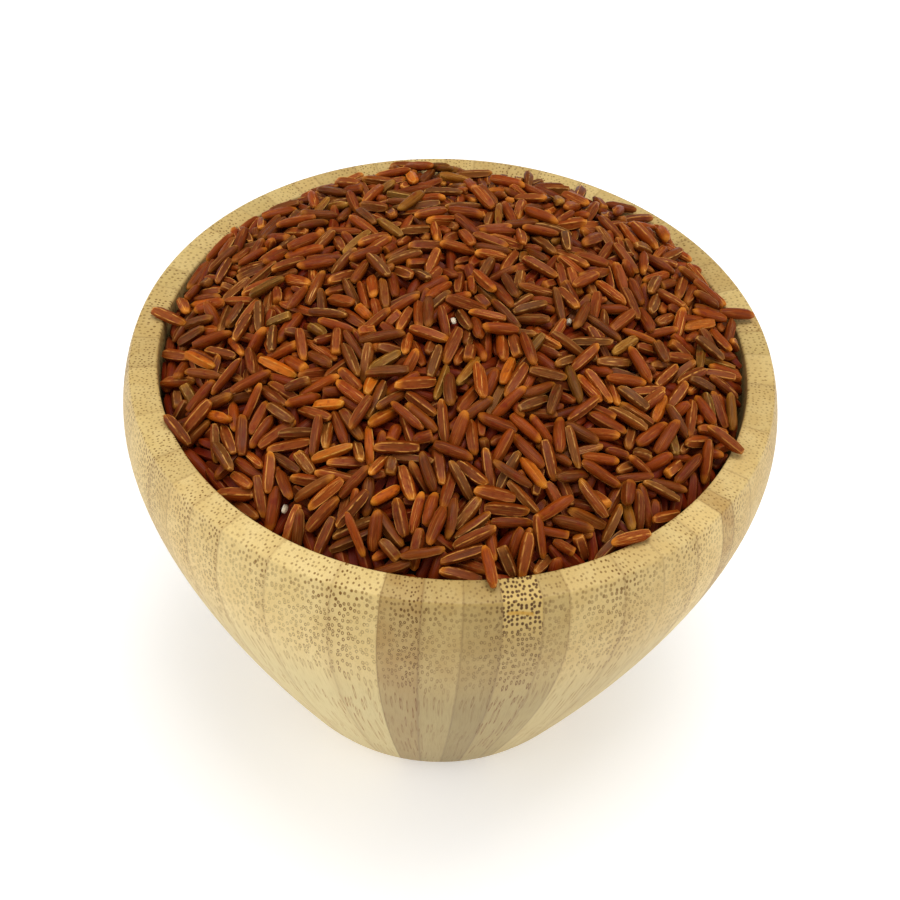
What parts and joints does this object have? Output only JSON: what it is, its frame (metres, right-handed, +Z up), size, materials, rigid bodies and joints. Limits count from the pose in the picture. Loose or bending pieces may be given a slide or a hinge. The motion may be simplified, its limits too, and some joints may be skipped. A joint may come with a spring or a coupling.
{
  "type": "bowl of red rice",
  "caption": "Small turned bamboo bowl with a full belly and a narrow foot, heaped over its rim with raw long-grain red rice.",
  "frame": {"origin": "centre of the bowl's foot, on the surface that it stands on", "axes": "+Z up along the bowl's turning axis, -Y towards the side that the picture shows"},
  "size_m": [0.11, 0.11, 0.0933],
  "materials": {
    "bamboo": "pale laminated bamboo strips, turned and satin oiled, vascular dots on the rim and short brown fibre streaks down the flank",
    "red_rice": "whole raw rice grains with a slightly glossy red-brown bran, long shallow grooves and paler orange tips"
  },
  "bodies": {
    "root": {"bowl": "bamboo", "rice": "red_rice"}
  },
  "joints": []
}
